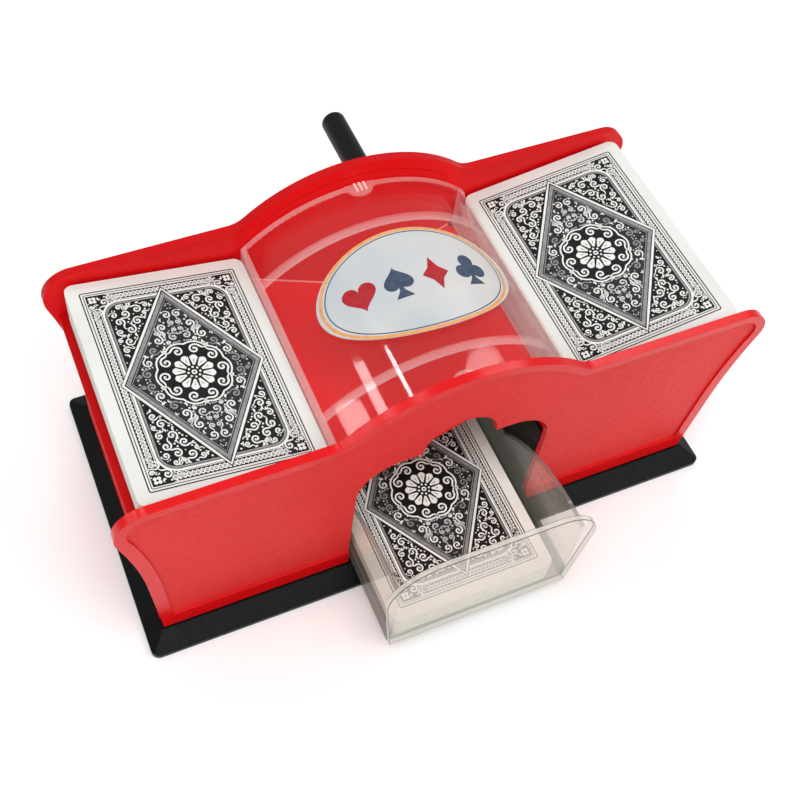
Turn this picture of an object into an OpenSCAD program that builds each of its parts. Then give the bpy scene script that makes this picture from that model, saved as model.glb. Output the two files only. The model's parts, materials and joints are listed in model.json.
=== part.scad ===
// Hand-cranked two-deck card shuffler.
// Frame: origin at the centre of the plinth's underside, +Z up, X along the length.
// The drawer opens towards -Y and the crank stands on the +Y side.

/* [Plinth] */
// Length of the black plinth
plinth_length = 224; // [216:1:240]
// Depth of the black plinth
plinth_depth = 113; // [110:1:125]
// Height of the plinth's flat top
plinth_height = 5.6; // [5:0.1:8]
// Height of the upright rim below the plinth's slope
plinth_rim = 2.2; // [1:0.1:3]

/* [Side panels] */
// Clear width between the two panels
panel_gap = 90.4; // [90:0.1:94]
// Thickness of each panel
panel_thick = 3.2; // [2.8:0.1:4]
// Height of the wings' straight top edge
wing_top = 89.5; // [86:0.5:96]
// Half length of a panel where it stands on the plinth
foot_half = 105.4; // [102:0.2:107]
// Radius of the wing tips
tip_r = 11; // [8:0.5:14]
// Radius of the arch in the middle of a panel
arch_r = 62.8; // [58:0.2:68]
// Height of the arch's centre
arch_centre = 44; // [40:0.5:48]
// Depth of the sunk field on a panel's outer face
field_depth = 0.8; // [0.4:0.1:1]

/* [Mouth] */
// Width of the drawer mouth
mouth_width = 72; // [71:0.5:76]
// Height of the mouth's crown
mouth_crown = 68; // [64:0.5:70]
// Radius of the mouth's upper corners
mouth_corner = 16; // [10:1:20]
// Radius of the thumb notch over the mouth
notch_r = 13.5; // [8:0.5:15]

/* [Cards] */
// Short side of a card
card_width = 63; // [57:0.5:63.5]
// Long side of a card
card_length = 88; // [87:0.5:89]
// Thickness of a full deck
deck_thick = 15.8; // [12:0.1:17]
// Thickness of the pile in the drawer
pile_thick = 10.4; // [4:0.1:12]
// Slope of the card trays in degrees
tray_tilt = 9; // [7:0.5:11]

/* [Cover] */
// Outer radius of the clear cover
cover_r = 60; // [59:0.1:61]
// Height of the cover's axis
cover_centre = 37.5; // [36:0.1:39]
// Width of the cover between the two decks
cover_width = 86.8; // [86:0.1:87]
// Wall thickness of the cover
cover_wall = 2; // [1.6:0.1:2.4]

/* [Drawer] */
// Width of the drawer across its side walls
drawer_width = 70; // [68:0.2:70]
// How far the drawer stands out of the mouth
drawer_out = 32.5; // [29.8:0.1:34]
// Height of the drawer's front plate
drawer_front_top = 58.5; // [54:0.5:62]

/* [Crank] */
// Height of the crank shaft
crank_z = 47; // [46:0.5:48]
// Length of the crank arm between its axes
arm_length = 36; // [30:1:38]
// Angle of the crank arm from the +X axis in degrees
arm_angle = 73; // [0:1:359]
// Diameter of the crank grip
grip_d = 9.2; // [8:0.1:11]
// Length of the crank grip
grip_length = 30; // [24:1:36]

/* [Gears] */
// Gear module
gear_module = 1; // [1:0.1:1]
// Teeth on the crank gear
crank_teeth = 36; // [36:1:36]
// Teeth on each roller gear
roller_teeth = 16; // [16:1:16]
// Teeth on the left idler gear
left_idler_teeth = 25; // [25:1:25]
// Teeth on the two right idler gears
right_idler_teeth = 14; // [14:1:14]
// Width of the gear teeth
gear_width = 4; // [3:0.5:4]

/* [Rollers] */
// Distance of each roller axle from the middle
roller_x = 50; // [50:0.5:51]
// Radius of the rubber tyres
tyre_r = 10; // [9.6:0.1:10]
// Diameter of the steel axles
axle_d = 4; // [3:0.5:4]

/* [Hidden] */
$fn = 72;
e = 0.01;

RED = [0.83, 0.08, 0.09];
BLACK = [0.05, 0.05, 0.055];
STEEL = [0.7, 0.71, 0.73];

// Panels
inner_y = panel_gap / 2;
outer_y = inner_y + panel_thick;
seat_y = outer_y - field_depth;
side_slope = 0.085;
side_flare = 0.0033;
flare_from = 40;
side_step = 5;
tip_angle = 17.6;
tip_z = wing_top - tip_r;
tip_start = tip_z - tip_r * sin(tip_angle);
valley_r = 9;
field_top = 3.4;
field_side = 4.6;
field_bottom = 8;
back_trim = 3;
bead_r = 57.8;
bead_high = 0.35;
bead_wide = 1.2;
bead_half = 36;
ledge_proud = 1.1;
ledge_long = 3;
ledge_high = 1.9;

// Plinth
plinth_top_half_x = foot_half + 1;
plinth_top_half_y = outer_y + 0.8;
post_x = 97;
post_y = 38;
post_r = 4;
post_top = 22;
post_bore_r = 1.3;
screw_hole_r = 1.7;
screw_head_r = 3;
screw_head_h = 1.8;
screw_length = 14;
foot_r = 5.5;
foot_x = 103;
foot_y = 47.5;
foot_thick = 0.8;
plinth_corner = 3;

// Trays and chamber
gate_x = cover_width / 2;
floor_low = 60;
floor_thick = 2.2;
floor_in = gate_x + 0.5;
floor_out = 109;
end_wall_thick = 2.4;
window_x = 61;
window_y = 14;
chamber_x = 37.2;
chamber_wall = 2;
chamber_top = 54.9;
chamber_floor_thick = 1.6;
chamber_floor_front = 13.5;
guide_high = 59.8;
guide_tilt = 26;
guide_end = 31.8;
guide_thick = 1.6;
guide_gap_y = 17;
guide_front = 39;
deflector_half = 40.2;
deflector_high = 61.4;
deflector_gap_x = 36;
deflector_gap_y = 30;
deflector_corner = 8;
deflector_lip = gate_x - 0.4;
deflector_lip_y = inner_y - ledge_proud - 0.3;
deflector_lip_thick = 0.8;
drawer_guide_x = 35.6;
drawer_guide_back = -6;
drawer_guide_top = 50;

// Decks
deck_lift = 0.35;
deck_in = gate_x + 0.4;
deck_out = deck_in + card_width * cos(tray_tilt);
card_corner = 3.2;

// Cover
cover_half_y = 44.6;
cover_gate_low = 62;
rib_y = 28.6;
rib_wide = 2.6;
rib_deep = 1.4;
rim_wide = 2;
rim_high = 0.6;
tab_r = 5.4;
tab_high = 0.9;
ridge_pitch = 1.7;
badge_x = 2.5;
badge_lift = 0.04;
badge_thick = 0.4;
badge_half_x = 34.5;
badge_half_y = 21.5;

// Drawer
drawer_low = plinth_height + 0.2;
drawer_floor = 1.6;
drawer_wall = 1.6;
drawer_front_thick = 2;
drawer_front_y = -outer_y - drawer_out - drawer_front_thick;
drawer_inner_y = drawer_front_y + drawer_front_thick;
drawer_back_y = drawer_inner_y + 91.6;
drawer_back_top = 24;
side_arch_y = 7;
side_arch_top = 45.2;
side_arch_r = 60;
plate_low_half = 34.8;
plate_high_half = 38.8;
plate_corner = 18;
pile_x = -1.7;
pile_y = drawer_inner_y + 0.4 + card_length / 2;

// Crank and gear train
mouth_half = mouth_width / 2;
axle_r = axle_d / 2;
run = 0.05;
shaft_r = 3;
bush_wall = 1.55;
gear_y = seat_y + 1.2;
case_depth = 8.6;
case_wall = 1.6;
case_half_x = 62;
case_low = 26;
case_high = 70;
case_corner = 14;
case_post_x = 57;
case_post_low = 32;
case_post_high = 64;
case_post_r = 3.2;
case_screw_r = 1.1;
case_y = seat_y + case_depth;
arm_y = case_y + 2.4;
arm_thick = 4.4;
arm_hub_r = 6.5;
arm_tip_r = 5.5;
arm_waist = 0.5;
pin_clear = 0.3;
grip_y = arm_y + arm_thick + pin_clear;
grip_bore_end = grip_y + grip_length - 3.5;
roller_z = floor_z(roller_x) - tyre_r / cos(tray_tilt);
crank_at = [0, crank_z];
left_at = [-roller_x, roller_z];
right_at = [roller_x, roller_z];
grip_at = crank_at + arm_length * [cos(arm_angle), sin(arm_angle)];
pressure_angle = 25;
backlash = 0.2;
left_idler_at = meet(crank_at, left_at, pitch_r(crank_teeth) + pitch_r(left_idler_teeth),
                     pitch_r(left_idler_teeth) + pitch_r(roller_teeth), 1);
inner_bearing = 12;
right_inner_at = crank_at + (pitch_r(crank_teeth) + pitch_r(right_idler_teeth))
                 * [cos(inner_bearing), sin(inner_bearing)];
right_outer_at = meet(right_inner_at, right_at, 2 * pitch_r(right_idler_teeth),
                      pitch_r(right_idler_teeth) + pitch_r(roller_teeth), -1);
crank_turn = 0;
left_idler_turn = meshed(crank_at, crank_teeth, crank_turn, left_idler_at, left_idler_teeth);
left_roller_turn = meshed(left_idler_at, left_idler_teeth, left_idler_turn, left_at, roller_teeth);
right_inner_turn = meshed(crank_at, crank_teeth, crank_turn, right_inner_at, right_idler_teeth);
right_outer_turn = meshed(right_inner_at, right_idler_teeth, right_inner_turn,
                          right_outer_at, right_idler_teeth);
right_roller_turn = meshed(right_outer_at, right_idler_teeth, right_outer_turn,
                           right_at, roller_teeth);

// Height of the tray floor's upper face at distance x from the middle
function floor_z(x) = floor_low + (x - floor_in) * tan(tray_tilt);

// Half length of a panel at height z
function side_x(z) = foot_half + side_slope * (z - plinth_height)
                     + side_flare * pow(max(0, z - flare_from), 2);

function pitch_r(teeth) = gear_module * teeth / 2;
function bearing(a, b) = atan2(b[1] - a[1], b[0] - a[0]);

// Point at distance ra from a and rb from b, on the left (side 1) or right (side -1) of a to b
function meet(a, b, ra, rb, side) =
    let (d = norm(b - a), turn = acos((ra * ra + d * d - rb * rb) / (2 * ra * d)))
    a + ra * [cos(bearing(a, b) + side * turn), sin(bearing(a, b) + side * turn)];

// Turn of gear b that puts a gap where gear a has a tooth
function meshed(a, teeth_a, turn_a, b, teeth_b) =
    bearing(a, b) + 180 - (0.5 - (bearing(a, b) - turn_a) * teeth_a / 360) * 360 / teeth_b;

function involute(angle) = tan(angle) - angle * PI / 180;

// Angle from a tooth's middle to its flank at radius r
function flank(teeth, r) =
    let (base_r = pitch_r(teeth) * cos(pressure_angle))
    90 / teeth - backlash / 4 / pitch_r(teeth) * 180 / PI
    + (involute(pressure_angle) - involute(acos(min(1, base_r / r)))) * 180 / PI;

function tooth_radii(teeth) =
    let (root = pitch_r(teeth) - 1.2 * gear_module, tip = pitch_r(teeth) + 0.9 * gear_module,
         start = max(root, pitch_r(teeth) * cos(pressure_angle)))
    [root, start, (start + tip) / 2, tip];

// Extrudes an outline drawn in X and Z from y_low to y_low + thick
module upright(y_low, thick) {
    translate([0, y_low + thick, 0]) rotate([90, 0, 0]) linear_extrude(thick) children();
}

// Extrudes an outline drawn in Y and Z along X
module along_x(x_low, thick) {
    translate([x_low, 0, 0]) rotate([90, 0, 90]) linear_extrude(thick) children();
}

module rod(at, y_low, length, r) {
    translate([at[0], y_low + length, at[1]]) rotate([90, 0, 0]) cylinder(h = length, r = r);
}

module both_ends() {
    children();
    mirror([1, 0, 0]) children();
}

module four_corners(x, y) {
    for (sx = [-1, 1], sy = [-1, 1]) translate([sx * x, sy * y, 0]) children();
}

module round_rectangle(length, width, r) {
    square([length - 2 * r, width], center = true);
    square([length, width - 2 * r], center = true);
    for (sx = [-1, 1], sy = [-1, 1])
        translate([sx * (length / 2 - r), sy * (width / 2 - r)]) circle(r = r);
}

// A panel's outline with its edges moved in by the given amounts; trim makes the panel shorter
module panel_outline(top_in, side_in, bottom_in, trim = 0) {
    top = wing_top - top_in;
    arch = arch_r - top_in;
    valley = valley_r + top_in;
    valley_x = sqrt(pow(arch + valley, 2) - pow(top + valley - arch_centre, 2));
    share = arch / (arch + valley);
    tip_x = side_x(tip_start) - trim - tip_r * cos(tip_angle);
    tip_now = tip_r - (top_in + side_in) / 2;
    low = plinth_height + bottom_in;
    side = [for (z = [low : side_step : tip_start]) [side_x(z) - trim - side_in, z]];
    intersection() {
        both_ends() {
            polygon(concat([[0, low]], side,
                [[tip_x + tip_now * cos(tip_angle), tip_z - tip_now * sin(tip_angle)],
                 [tip_x, tip_z], [tip_x, top], [0, top]]));
            translate([tip_x, top - tip_now]) circle(r = tip_now);
            difference() {
                polygon([[0, top - 1], [valley_x, top - 1], [valley_x, top],
                         [share * valley_x, arch_centre + share * (top + valley - arch_centre)],
                         [0, top]]);
                translate([valley_x, top + valley]) circle(r = valley, $fn = 96);
            }
            translate([0, arch_centre]) circle(r = arch, $fn = 180);
        }
        translate([-plinth_length / 2 - 10, low]) square([plinth_length + 20, 110]);
    }
}

module mouth_outline() {
    low = plinth_height - 1;
    corner_x = mouth_half - mouth_corner;
    translate([-mouth_half, low]) square([mouth_width, mouth_crown - mouth_corner - low]);
    translate([-corner_x, low]) square([2 * corner_x, mouth_crown - low]);
    for (sx = [-1, 1])
        translate([sx * corner_x, mouth_crown - mouth_corner]) circle(r = mouth_corner);
    translate([0, mouth_crown]) circle(r = notch_r);
}

// Shallow arched bead on a panel's inner face, over the cover's rim
module inner_bead(y_low) {
    intersection() {
        upright(y_low, bead_high + e)
            difference() {
                translate([0, arch_centre]) circle(r = bead_r, $fn = 180);
                translate([0, arch_centre]) circle(r = bead_r - bead_wide, $fn = 180);
            }
        translate([-bead_half, -60, arch_centre]) cube([2 * bead_half, 120, 80]);
    }
}

// Small ledges on a panel's inner face that carry the cover's four corners
module cover_ledges(y_low) {
    both_ends()
        translate([gate_x - ledge_long, y_low, cover_gate_low - ledge_high - 0.05])
            cube([ledge_long, ledge_proud + e, ledge_high]);
}

// Screw posts that stand behind a panel's lower corners
module screw_posts(sy) {
    web = inner_y - post_y + 1;
    for (sx = [-1, 1])
        difference() {
            union() {
                translate([sx * post_x, sy * post_y, plinth_height])
                    cylinder(h = post_top - plinth_height, r = post_r);
                translate([sx * post_x - 1, sy > 0 ? post_y : -post_y - web, plinth_height])
                    cube([2, web, post_top - plinth_height]);
            }
            translate([sx * post_x, sy * post_y, plinth_height - 1])
                cylinder(h = screw_length, r = post_bore_r);
        }
}

module plinth_profile(half_low, half_top) {
    polygon([[-half_low, 0], [half_low, 0], [half_low, plinth_rim], [half_top, plinth_height],
             [-half_top, plinth_height], [-half_low, plinth_rim]]);
}

module base_plinth() {
    color(BLACK)
        difference() {
            intersection() {
                along_x(-plinth_length, 2 * plinth_length)
                    plinth_profile(plinth_depth / 2, plinth_top_half_y);
                upright(-plinth_depth, 2 * plinth_depth)
                    plinth_profile(plinth_length / 2, plinth_top_half_x);
                linear_extrude(plinth_height)
                    round_rectangle(plinth_length, plinth_depth, plinth_corner);
            }
            translate([-chamber_x, chamber_floor_front, plinth_height - chamber_floor_thick])
                cube([2 * chamber_x, inner_y - chamber_floor_front, chamber_floor_thick + 1]);
            four_corners(post_x, post_y) {
                translate([0, 0, -1]) cylinder(h = plinth_height + 2, r = screw_hole_r);
                translate([0, 0, -1]) cylinder(h = 1 + screw_head_h + 0.3, r = screw_head_r + 0.3);
            }
            four_corners(foot_x, foot_y)
                translate([0, 0, -1]) cylinder(h = 1 + foot_thick, r = foot_r);
        }
}

// Anti-slip pads let into the plinth's underside, level with it
module base_feet() {
    color([0.12, 0.12, 0.12])
        four_corners(foot_x, foot_y) cylinder(h = foot_thick, r = foot_r);
}

module base_screws() {
    color(STEEL)
        four_corners(post_x, post_y)
            difference() {
                union() {
                    translate([0, 0, 0.3]) cylinder(h = screw_head_h, r = screw_head_r);
                    translate([0, 0, 0.3]) cylinder(h = screw_length, r = post_bore_r - run);
                }
                translate([-screw_head_r, -0.4, -0.7]) cube([2 * screw_head_r, 0.8, 2]);
            }
}

module front_panel() {
    color(RED) {
        difference() {
            union() {
                upright(-outer_y, panel_thick) panel_outline(0, 0, 0);
                for (at = [left_at, right_at]) rod(at, -inner_y - e, 4.4, axle_r + 3.5);
            }
            upright(-outer_y - 1, 1 + field_depth)
                panel_outline(field_top, field_side, field_bottom);
            upright(-outer_y - 1, panel_thick + 2) mouth_outline();
            for (at = [left_at, right_at]) rod(at, -inner_y, 5, axle_r + bush_wall);
        }
        screw_posts(-1);
        inner_bead(-inner_y - e);
        cover_ledges(-inner_y - e);
    }
}

module back_panel() {
    color(RED) {
        difference() {
            union() {
                upright(inner_y, panel_thick) panel_outline(0, 0, 0, back_trim);
                for (at = [left_idler_at, right_inner_at, right_outer_at])
                    rod(at, seat_y - 1, 1.8, axle_r + 1.4);
            }
            difference() {
                upright(seat_y, 2)
                    panel_outline(field_top, field_side, field_bottom, back_trim);
                for (at = [left_idler_at, right_inner_at, right_outer_at])
                    rod(at, seat_y - 1, 1.8, axle_r + 1.4);
            }
            rod(crank_at, inner_y - 1, 6, shaft_r + bush_wall);
            for (at = [left_at, right_at]) rod(at, inner_y - 1, 6, axle_r + bush_wall);
            for (at = [left_idler_at, right_inner_at, right_outer_at])
                rod(at, inner_y + 1, 4, axle_r);
            for (x = [-case_post_x, case_post_x], z = [case_post_low, case_post_high])
                rod([x, z], inner_y + 0.8, 4, case_screw_r);
        }
        screw_posts(1);
        inner_bead(inner_y - bead_high);
        cover_ledges(inner_y - ledge_proud);
    }
}

module end_wall() {
    color(RED)
        translate([-foot_half - 0.6, -inner_y, plinth_height])
            cube([end_wall_thick, panel_gap,
                  floor_z(foot_half - end_wall_thick) - floor_thick - plinth_height - 0.2]);
}

module left_end_wall() {
    end_wall();
}

module right_end_wall() {
    mirror([1, 0, 0]) end_wall();
}

module tray_floor() {
    color(RED)
        difference() {
            upright(-inner_y, panel_gap)
                polygon([[-floor_out, floor_z(floor_out) - floor_thick],
                         [-floor_in, floor_z(floor_in) - floor_thick],
                         [-floor_in, floor_z(floor_in)], [-floor_out, floor_z(floor_out)]]);
            translate([-window_x, -window_y, floor_low - 20])
                cube([window_x, 2 * window_y, 40]);
        }
}

module left_tray_floor() {
    tray_floor();
}

module right_tray_floor() {
    mirror([1, 0, 0]) tray_floor();
}

module chamber_wall() {
    color(RED)
        translate([-chamber_x - chamber_wall, -inner_y, plinth_height])
            cube([chamber_wall, panel_gap, chamber_top - plinth_height]);
}

module left_chamber_wall() {
    chamber_wall();
}

module right_chamber_wall() {
    mirror([1, 0, 0]) chamber_wall();
}

// Red floor plate let into the plinth behind the drawer
module chamber_floor() {
    color(RED)
        translate([-chamber_x, chamber_floor_front, plinth_height - chamber_floor_thick])
            cube([2 * chamber_x, inner_y - chamber_floor_front, chamber_floor_thick]);
}

// Pair of sloping guides that let a card down from the tray into the chamber
module card_guide() {
    fall = (gate_x - guide_end) * tan(guide_tilt);
    deep = guide_thick / cos(guide_tilt);
    color(RED)
        difference() {
            upright(-guide_front, guide_front + inner_y)
                polygon([[-gate_x, guide_high - deep], [-guide_end, guide_high - fall - deep],
                         [-guide_end, guide_high - fall], [-gate_x, guide_high]]);
            translate([-gate_x - 1, -guide_gap_y, floor_low - 20])
                cube([gate_x, 2 * guide_gap_y, 40]);
        }
}

module left_card_guide() {
    card_guide();
}

module right_card_guide() {
    mirror([1, 0, 0]) card_guide();
}

// V-shaped roof that turns the cards down into the drawer, cut away behind the mouth, with a
// thin lip on each side that runs out under the cover's gate
module card_deflector() {
    fall = deflector_half * tan(guide_tilt);
    deep = guide_thick / cos(guide_tilt);
    color(RED) {
        difference() {
            upright(-inner_y, panel_gap)
                polygon([[-deflector_half, deflector_high], [-deflector_half, deflector_high - deep],
                         [0, deflector_high - fall - deep], [deflector_half, deflector_high - deep],
                         [deflector_half, deflector_high], [0, deflector_high - fall]]);
            translate([0, -inner_y, floor_low - 40])
                linear_extrude(60)
                    round_rectangle(2 * deflector_gap_x, 2 * (inner_y - deflector_gap_y),
                                    deflector_corner);
        }
        both_ends()
            translate([deflector_half - e, -deflector_lip_y, deflector_high - deflector_lip_thick])
                cube([deflector_lip - deflector_half + e, 2 * deflector_lip_y, deflector_lip_thick]);
    }
}

module drawer_guides() {
    color(BLACK)
        both_ends()
            translate([-chamber_x, -inner_y, plinth_height])
                cube([chamber_x - drawer_guide_x, inner_y + drawer_guide_back,
                      drawer_guide_top - plinth_height]);
}

// Cross-section of the clear cover: an arch on two upright gate walls
module cover_section(grow) {
    difference() {
        intersection() {
            translate([0, cover_centre]) circle(r = cover_r + grow, $fn = 180);
            translate([-gate_x, cover_gate_low]) square([cover_width, 60]);
        }
        intersection() {
            translate([0, cover_centre]) circle(r = cover_r - cover_wall, $fn = 180);
            translate([-gate_x + cover_wall, cover_gate_low - 1])
                square([cover_width - 2 * cover_wall, 60]);
        }
    }
}

module cover_rib(y) {
    upright(y - rib_wide / 2, rib_wide)
        intersection() {
            difference() {
                translate([0, cover_centre]) circle(r = cover_r - cover_wall + e, $fn = 180);
                translate([0, cover_centre])
                    circle(r = cover_r - cover_wall - rib_deep, $fn = 180);
            }
            translate([-gate_x + cover_wall - e, cover_centre])
                square([cover_width - 2 * cover_wall + 2 * e, 80]);
        }
}

// Half-round finger tab with grip ridges at an end of the cover
module cover_tab(sy) {
    intersection() {
        upright(-cover_half_y, 2 * cover_half_y)
            difference() {
                translate([0, cover_centre]) circle(r = cover_r + tab_high, $fn = 180);
                translate([0, cover_centre]) circle(r = cover_r - e, $fn = 180);
            }
        translate([0, sy * cover_half_y, cover_centre]) cylinder(h = 80, r = tab_r);
    }
    intersection() {
        upright(-cover_half_y, 2 * cover_half_y)
            difference() {
                translate([0, cover_centre]) circle(r = cover_r + tab_high + 0.4, $fn = 180);
                translate([0, cover_centre]) circle(r = cover_r, $fn = 180);
            }
        for (i = [-1 : 1])
            translate([i * ridge_pitch - 0.35, sy * cover_half_y - (sy > 0 ? 3.6 : 0), cover_centre])
                cube([0.7, 3.6, 80]);
    }
}

module clear_cover() {
    color([0.9, 0.92, 0.95, 0.35]) {
        upright(-cover_half_y, 2 * cover_half_y) cover_section(0);
        for (sy = [-1, 1]) {
            upright(sy > 0 ? cover_half_y - rim_wide : -cover_half_y, rim_wide)
                cover_section(rim_high);
            cover_rib(sy * rib_y);
            cover_tab(sy);
        }
    }
}

// Plain oval badge that follows the cover
module cover_badge() {
    color([0.85, 0.84, 0.8])
        intersection() {
            upright(-cover_half_y, 2 * cover_half_y)
                difference() {
                    translate([0, cover_centre])
                        circle(r = cover_r + badge_lift + badge_thick, $fn = 180);
                    translate([0, cover_centre]) circle(r = cover_r + badge_lift, $fn = 180);
                }
            translate([badge_x, 0, cover_centre])
                linear_extrude(80)
                    polygon([for (a = [0 : 4 : 356])
                        [badge_half_x * cos(a), badge_half_y * sin(a)]]);
        }
}

// A drawer side, low at the back and swept up in an arc towards the front plate
module drawer_side_outline() {
    translate([drawer_inner_y, drawer_low])
        square([drawer_back_y - drawer_inner_y, drawer_back_top - drawer_low]);
    intersection() {
        translate([drawer_inner_y + side_arch_y, side_arch_top - side_arch_r])
            circle(r = side_arch_r, $fn = 180);
        translate([drawer_inner_y, drawer_low]) square([side_arch_r, side_arch_top]);
    }
}

module drawer_tray() {
    floor_length = drawer_back_y - drawer_inner_y;
    color([0.25, 0.25, 0.23, 0.5]) {
        translate([-drawer_width / 2, drawer_inner_y, drawer_low])
            cube([drawer_width, floor_length, drawer_floor]);
        translate([-drawer_width / 2, drawer_back_y - drawer_wall, drawer_low])
            cube([drawer_width, drawer_wall, drawer_back_top - drawer_low]);
        both_ends()
            along_x(drawer_width / 2 - drawer_wall, drawer_wall) drawer_side_outline();
    }
}

module drawer_front() {
    corner_z = drawer_front_top - plate_corner;
    corner_x = plate_high_half - plate_corner;
    color([0.5, 0.5, 0.48, 0.5])
        upright(drawer_front_y, drawer_front_thick)
            both_ends() {
                polygon([[0, drawer_low], [plate_low_half, drawer_low],
                         [plate_high_half, corner_z], [corner_x, corner_z],
                         [corner_x, drawer_front_top], [0, drawer_front_top]]);
                translate([corner_x, corner_z]) circle(r = plate_corner);
            }
}

// A deck leaning on the gate, its ends upright because the cards slide down one by one
module tray_deck() {
    low = floor_z(deck_in) + deck_lift;
    rise = (deck_out - deck_in) * tan(tray_tilt);
    high = deck_thick / cos(tray_tilt);
    color([0.92, 0.92, 0.9])
        intersection() {
            upright(-card_length, 2 * card_length)
                polygon([[-deck_in, low], [-deck_in, low + high],
                         [-deck_out, low + rise + high], [-deck_out, low + rise]]);
            translate([-(deck_in + deck_out) / 2, 0, 0])
                linear_extrude(120)
                    round_rectangle(deck_out - deck_in, card_length, card_corner);
        }
}

module left_deck() {
    tray_deck();
}

module right_deck() {
    mirror([1, 0, 0]) tray_deck();
}

module drawer_pile() {
    color([0.92, 0.92, 0.9])
        translate([pile_x, pile_y, drawer_low + drawer_floor + 0.05])
            linear_extrude(pile_thick) round_rectangle(card_width, card_length, card_corner);
}

module gear_outline(teeth) {
    radii = tooth_radii(teeth);
    last = len(radii) - 1;
    polygon([for (i = [0 : teeth - 1], side = [-1, 1], k = [0 : last])
        let (r = radii[side < 0 ? k : last - k],
             a = 360 * i / teeth + side * flank(teeth, max(r, radii[1])))
        r * [cos(a), sin(a)]]);
}

module gear(at, teeth, turn, bore_r) {
    hub_r = bore_r + 1.4;
    difference() {
        union() {
            translate([at[0], gear_y + gear_width, at[1]])
                rotate([90, 0, 0]) rotate([0, 0, turn])
                    linear_extrude(gear_width) gear_outline(teeth);
            rod(at, gear_y - 0.3, gear_width + 0.7, hub_r);
        }
        rod(at, gear_y - 1, gear_width + 3, bore_r);
    }
}

module crank_gear() {
    web_hole_r = 3;
    color([0.9, 0.9, 0.86])
        difference() {
            gear(crank_at, crank_teeth, crank_turn, shaft_r);
            for (a = [30 : 60 : 330])
                rod(crank_at + 10.5 * [cos(a), sin(a)], gear_y - 1, gear_width + 3, web_hole_r);
        }
}

module left_idler_gear() {
    color([0.9, 0.9, 0.86])
        gear(left_idler_at, left_idler_teeth, left_idler_turn, axle_r + run);
}

module right_inner_idler_gear() {
    color([0.9, 0.9, 0.86])
        gear(right_inner_at, right_idler_teeth, right_inner_turn, axle_r + run);
}

module right_outer_idler_gear() {
    color([0.9, 0.9, 0.86])
        gear(right_outer_at, right_idler_teeth, right_outer_turn, axle_r + run);
}

module left_roller_gear() {
    color([0.9, 0.9, 0.86]) gear(left_at, roller_teeth, left_roller_turn, axle_r);
}

module right_roller_gear() {
    color([0.9, 0.9, 0.86]) gear(right_at, roller_teeth, right_roller_turn, axle_r);
}

module idler_pins() {
    color(STEEL)
        for (at = [left_idler_at, right_inner_at, right_outer_at])
            rod(at, inner_y + 1, case_y - case_wall - inner_y - 1.2, axle_r);
}

module roller_axle(at) {
    color(STEEL) rod(at, -inner_y + 0.3, inner_y + gear_y + gear_width + 0.5, axle_r);
}

module roller_hub(at) {
    color([0.15, 0.15, 0.16])
        difference() {
            union() {
                rod(at, -13, 26, 6);
                for (y = [-13, -1, 11.8]) rod(at, y, y < -5 ? 1.2 : (y > 5 ? 1.2 : 2), 8.4);
            }
            rod(at, -14, 28, axle_r);
        }
}

module roller_tyres(at) {
    color([0.1, 0.1, 0.1])
        for (y = [-11.3, 1.5])
            difference() {
                rod(at, y, 9.8, tyre_r);
                rod(at, y - 1, 12, 6);
            }
}

module left_roller_axle() {
    roller_axle(left_at);
}

module left_roller_hub() {
    roller_hub(left_at);
}

module left_roller_tyres() {
    roller_tyres(left_at);
}

module right_roller_axle() {
    roller_axle(right_at);
}

module right_roller_hub() {
    roller_hub(right_at);
}

module right_roller_tyres() {
    roller_tyres(right_at);
}

module bush(at, y_low, length, bore_r) {
    difference() {
        rod(at, y_low, length, bore_r + bush_wall);
        rod(at, y_low - 1, length + 2, bore_r + run);
    }
}

module rear_bushes() {
    color([0.78, 0.62, 0.3]) {
        bush(crank_at, inner_y, panel_thick, shaft_r);
        for (at = [left_at, right_at]) bush(at, inner_y, panel_thick, axle_r);
    }
}

module front_bushes() {
    color([0.78, 0.62, 0.3])
        for (at = [left_at, right_at]) bush(at, -inner_y, 4.4, axle_r);
}

module case_outline(grow) {
    half_x = case_half_x - case_corner;
    low = case_low + case_corner;
    high = case_high - case_corner;
    r = case_corner + grow;
    translate([-half_x, low - r]) square([2 * half_x, high - low + 2 * r]);
    translate([-half_x - r, low]) square([2 * (half_x + r), high - low]);
    for (sx = [-1, 1], z = [low, high]) translate([sx * half_x, z]) circle(r = r);
}

module gear_case() {
    color(RED)
        difference() {
            union() {
                difference() {
                    upright(seat_y, case_depth) case_outline(0);
                    upright(seat_y - 1, case_depth - case_wall + 1) case_outline(-case_wall);
                }
                for (x = [-case_post_x, case_post_x], z = [case_post_low, case_post_high])
                    rod([x, z], seat_y, case_depth - 0.5, case_post_r);
                rod(crank_at, case_y - case_wall, case_wall + 1.6, shaft_r + bush_wall + 1.6);
            }
            rod(crank_at, case_y - 4, 8, shaft_r + bush_wall);
            for (x = [-case_post_x, case_post_x], z = [case_post_low, case_post_high])
                rod([x, z], seat_y - 1, case_depth + 2, case_screw_r + 0.2);
        }
}

module case_bush() {
    color([0.78, 0.62, 0.3]) bush(crank_at, case_y - case_wall, case_wall + 1.6, shaft_r);
}

module case_screws() {
    color(STEEL)
        for (x = [-case_post_x, case_post_x], z = [case_post_low, case_post_high])
            difference() {
                union() {
                    rod([x, z], inner_y + 1, case_y - inner_y - 1, case_screw_r - run);
                    rod([x, z], case_y, 1.3, 2.2);
                }
                translate([x - 2.4, case_y + 0.6, z - 0.3]) cube([4.8, 1, 0.6]);
                translate([x - 0.3, case_y + 0.6, z - 2.4]) cube([0.6, 1, 4.8]);
            }
}

module crank_shaft() {
    length = arm_y + arm_thick - inner_y - 0.2;
    color(STEEL)
        difference() {
            rod(crank_at, inner_y + 0.2, length, shaft_r);
            rod(crank_at, arm_y - 3, arm_thick + 4, 1.25);
        }
}

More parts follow.
